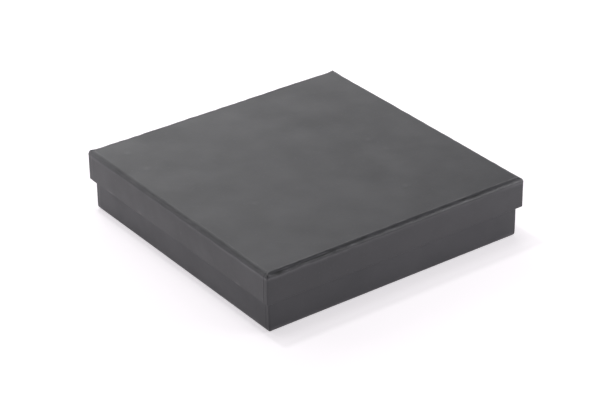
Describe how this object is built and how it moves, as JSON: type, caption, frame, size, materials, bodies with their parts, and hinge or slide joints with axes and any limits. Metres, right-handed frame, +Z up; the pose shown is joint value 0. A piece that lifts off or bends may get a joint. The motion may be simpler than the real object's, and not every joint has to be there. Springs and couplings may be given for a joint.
{
  "type": "gift box",
  "caption": "Shallow square rigid gift box covered in charcoal paper, with a lift-off lid that slips down over the upper half of its tray.",
  "frame": {"origin": "middle of the underside of the tray, on the surface that the box stands on", "axes": "+Z up through the lid, -Y towards the front face, +X to the right of it"},
  "size_m": [0.2, 0.2, 0.0425],
  "materials": {
    "greyboard": "matte",
    "cover_paper": "matte",
    "lining_paper": "matte",
    "stay_tape": "matte"
  },
  "bodies": {
    "tray": {"tray_board": "greyboard", "tray_cover": "cover_paper", "tray_lining": "lining_paper", "tray_corner_stay_front_left": "stay_tape", "tray_corner_stay_front_right": "stay_tape", "tray_corner_stay_back_left": "stay_tape", "tray_corner_stay_back_right": "stay_tape"},
    "lid": {"lid_board": "greyboard", "lid_cover": "cover_paper", "lid_lining": "lining_paper", "lid_corner_stay_front_left": "stay_tape", "lid_corner_stay_front_right": "stay_tape", "lid_corner_stay_back_left": "stay_tape", "lid_corner_stay_back_right": "stay_tape"}
  },
  "joints": [
    {"name": "lid_lift", "type": "slide", "parent": "tray", "child": "lid", "axis": [0, 0, 1], "range_m": [0, 0.06]}
  ]
}
